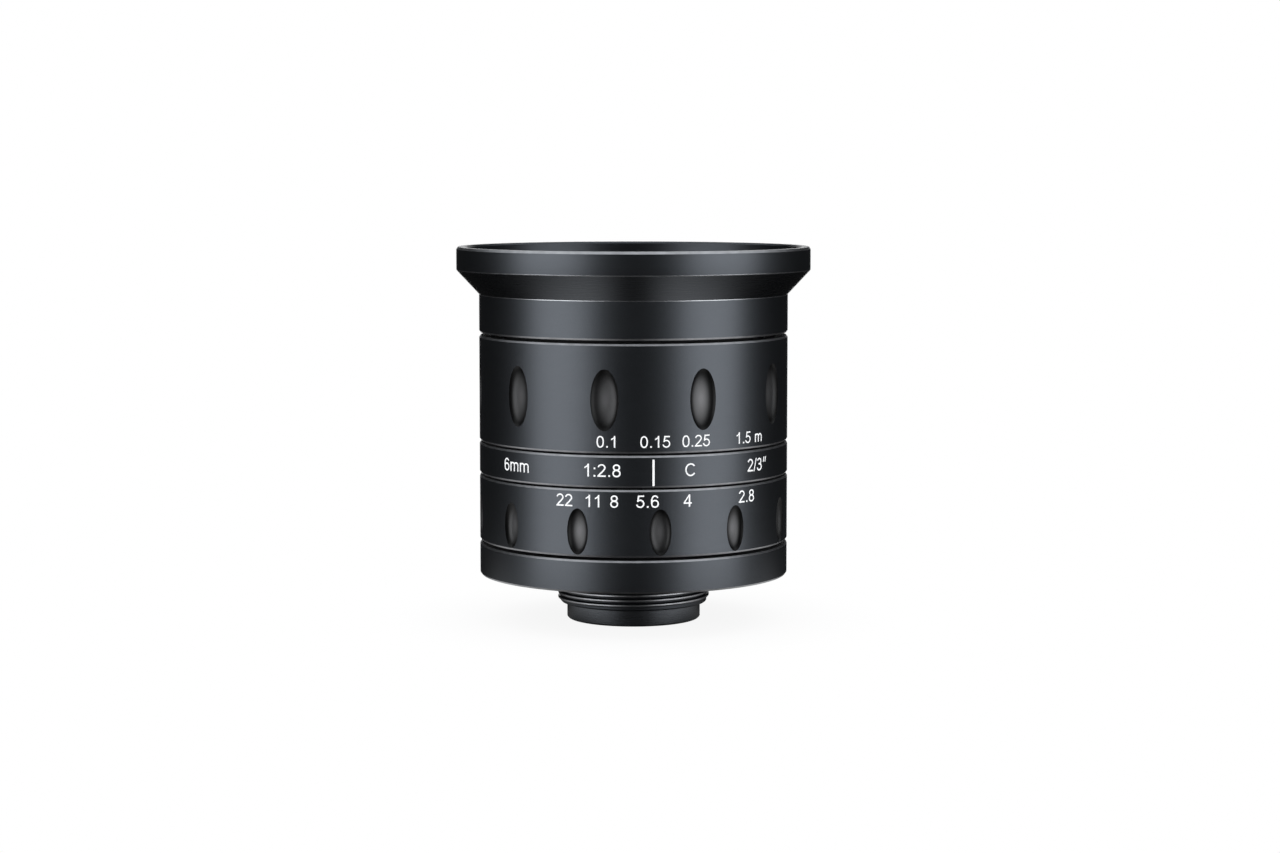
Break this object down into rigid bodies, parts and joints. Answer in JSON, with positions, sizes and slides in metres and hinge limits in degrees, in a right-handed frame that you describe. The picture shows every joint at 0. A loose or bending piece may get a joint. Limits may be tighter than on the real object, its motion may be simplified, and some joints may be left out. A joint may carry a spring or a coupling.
{
  "type": "c-mount camera lens",
  "caption": "Black metal C-mount lens with a flared front hood, a dimpled focus ring, a fixed index ring, a dimpled iris ring with blades inside, and a threaded rear mount.",
  "frame": {"origin": "centre of the end of the rear pilot, on the surface that the lens stands on", "axes": "+Z along the optical axis towards the front of the lens; the scales face -Y"},
  "size_m": [0.059, 0.059, 0.0623],
  "materials": {
    "black_anodised": "satin",
    "matt_black": "matt",
    "coated_glass": "polished",
    "blade_steel": "satin",
    "screw_steel": "satin",
    "brass": "satin",
    "white_print": "matt"
  },
  "bodies": {
    "housing": {"rear_housing": "black_anodised", "mount_thread_bush": "black_anodised", "rear_cell": "black_anodised", "doublet_rear_glass": "coated_glass", "doublet_front_glass": "coated_glass", "doublet_keeper_ring": "matt_black", "rear_inner_glass": "coated_glass", "rear_spacer": "matt_black", "rear_outer_glass": "coated_glass", "rear_keeper_ring": "matt_black", "main_sleeve": "black_anodised", "focus_keeper_ring": "brass", "guide_key": "brass", "index_ring": "black_anodised", "index_screw": "screw_steel", "blade_plate": "black_anodised", "iris_spacer_ring": "black_anodised", "iris_cover_plate": "black_anodised"},
    "focus_body": {"focus_ring": "black_anodised", "helicoid_nut": "black_anodised", "focus_stop_screw": "screw_steel"},
    "front_body": {"front_hood": "black_anodised", "front_cell": "matt_black", "front_keeper_ring": "matt_black", "front_glass": "coated_glass", "second_glass_spacer": "matt_black", "second_glass": "coated_glass", "third_glass_spacer": "matt_black", "third_glass": "coated_glass", "fourth_glass_spacer": "matt_black", "fourth_glass": "coated_glass"},
    "iris_body": {"iris_ring": "black_anodised", "iris_drive_screw": "screw_steel", "iris_cam_ring": "brass"},
    "blade_body_1": {"iris_blade_1": "blade_steel"},
    "blade_body_2": {"iris_blade_2": "blade_steel"},
    "blade_body_3": {"iris_blade_3": "blade_steel"},
    "blade_body_4": {"iris_blade_4": "blade_steel"},
    "blade_body_5": {"iris_blade_5": "blade_steel"},
    "blade_body_6": {"iris_blade_6": "blade_steel"}
  },
  "joints": [
    {"name": "focus_turn", "type": "hinge", "parent": "housing", "child": "focus_body", "pos_m": [0, 0, 0.03022], "axis": [0, 0, 1], "range_deg": [-38, 17]},
    {"name": "front_slide", "type": "slide", "parent": "housing", "child": "front_body", "axis": [0, 0, 1], "range_m": [-0.000242, 0.000108]},
    {"name": "iris_turn", "type": "hinge", "parent": "housing", "child": "iris_body", "pos_m": [0, 0, 0.01356], "axis": [0, 0, 1], "range_deg": [-37.88, 32.39]},
    {"name": "blade_swing_1", "type": "hinge", "parent": "housing", "child": "blade_body_1", "pos_m": [0.0092, 0, 0.01831], "axis": [0, 0, 1], "range_deg": [-10.1, 8.6]},
    {"name": "blade_swing_2", "type": "hinge", "parent": "housing", "child": "blade_body_2", "pos_m": [0.0046, 0.00797, 0.01858], "axis": [0, 0, 1], "range_deg": [-10.1, 8.6]},
    {"name": "blade_swing_3", "type": "hinge", "parent": "housing", "child": "blade_body_3", "pos_m": [-0.0046, 0.00797, 0.01885], "axis": [0, 0, 1], "range_deg": [-10.1, 8.6]},
    {"name": "blade_swing_4", "type": "hinge", "parent": "housing", "child": "blade_body_4", "pos_m": [-0.0092, 0, 0.01912], "axis": [0, 0, 1], "range_deg": [-10.1, 8.6]},
    {"name": "blade_swing_5", "type": "hinge", "parent": "housing", "child": "blade_body_5", "pos_m": [-0.0046, -0.00797, 0.01939], "axis": [0, 0, 1], "range_deg": [-10.1, 8.6]},
    {"name": "blade_swing_6", "type": "hinge", "parent": "housing", "child": "blade_body_6", "pos_m": [0.0046, -0.00797, 0.01966], "axis": [0, 0, 1], "range_deg": [-10.1, 8.6]}
  ],
  "couplings": [
    {"joint": "focus_turn", "follows": "front_slide", "rad_per_m": 2732.2},
    {"joint": "blade_swing_1", "follows": "iris_turn", "ratio": 0.26413},
    {"joint": "blade_swing_2", "follows": "iris_turn", "ratio": 0.26413},
    {"joint": "blade_swing_3", "follows": "iris_turn", "ratio": 0.26413},
    {"joint": "blade_swing_4", "follows": "iris_turn", "ratio": 0.26413},
    {"joint": "blade_swing_5", "follows": "iris_turn", "ratio": 0.26413},
    {"joint": "blade_swing_6", "follows": "iris_turn", "ratio": 0.26413}
  ]
}
